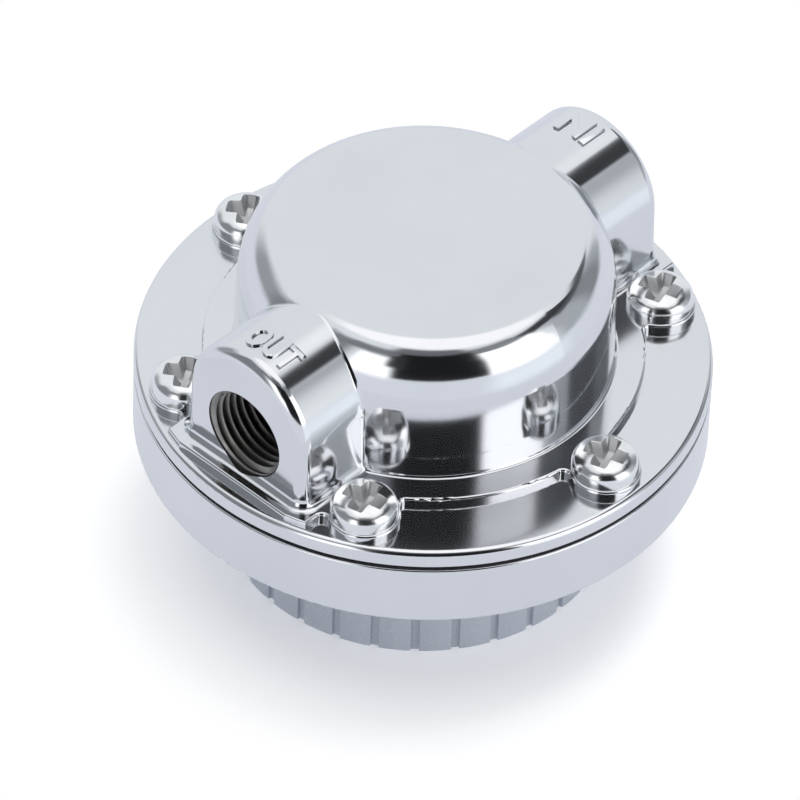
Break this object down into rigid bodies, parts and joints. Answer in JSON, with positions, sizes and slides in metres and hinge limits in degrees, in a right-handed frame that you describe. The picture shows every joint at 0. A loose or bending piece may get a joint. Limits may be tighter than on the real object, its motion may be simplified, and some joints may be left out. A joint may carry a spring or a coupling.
{
  "type": "fuel pressure regulator",
  "caption": "Round chrome-plated fuel pressure regulator with opposed threaded ports, a screwed flange and a grooved adjusting dial underneath.",
  "frame": {"origin": "centre of the dial's flat face, which is the surface the regulator stands on", "axes": "+Z along the main axis from the dial towards the closed cup, -Y out of the outlet port, +Y out of the inlet port"},
  "size_m": [0.059, 0.059, 0.0397],
  "materials": {
    "plated_casting": "mirror chrome plate over a smooth die casting",
    "plated_screw": "bright plate",
    "diaphragm_rubber": "rubbered fabric",
    "seal_rubber": "smooth",
    "brass": "turned",
    "spring_steel": "bright wire",
    "sheet_steel": "zinc plated",
    "rivet": "turned",
    "turned_steel": "turned",
    "dial_plastic": "moulded, silver grey"
  },
  "bodies": {
    "housing": {"fuel_body": "plated_casting", "dial_side_cover": "plated_casting", "flange_screws": "plated_screw", "diaphragm": "diaphragm_rubber", "valve_seat": "brass", "poppet_spring": "spring_steel", "main_spring": "spring_steel", "thrust_washer": "brass", "detent_ball": "turned_steel", "detent_spring": "spring_steel"},
    "diaphragm_stack": {"diaphragm_plate": "sheet_steel", "spring_plate": "sheet_steel", "centre_rivet": "rivet"},
    "valve": {"poppet": "brass", "poppet_seal": "seal_rubber"},
    "follower": {"spring_follower": "brass"},
    "dial": {"dial": "dial_plastic", "adjusting_screw": "turned_steel", "retaining_clip": "spring_steel", "dial_screw": "turned_steel", "dial_washer": "turned_steel"}
  },
  "joints": [
    {"name": "dial_turn", "type": "hinge", "parent": "housing", "child": "dial", "pos_m": [0, 0, 0], "axis": [0, 0, 1], "range_deg": [0, 300]},
    {"name": "follower_slide", "type": "slide", "parent": "housing", "child": "follower", "axis": [0, 0, 1], "range_m": [0, 0.004], "deforming": ["main_spring"]},
    {"name": "diaphragm_stroke", "type": "slide", "parent": "housing", "child": "diaphragm_stack", "axis": [0, 0, 1], "range_m": [-0.0009, 0], "stiffness_N_per_m": 5600, "springref_m": 0.0012, "deforming": ["main_spring", "diaphragm"]},
    {"name": "valve_lift", "type": "slide", "parent": "housing", "child": "valve", "axis": [0, 0, 1], "range_m": [-0.0009, 0], "deforming": ["poppet_spring"]}
  ],
  "couplings": [
    {"joint": "dial_turn", "follows": "follower_slide", "rad_per_m": 1308.9},
    {"joint": "valve_lift", "follows": "diaphragm_stroke", "ratio": 1}
  ]
}
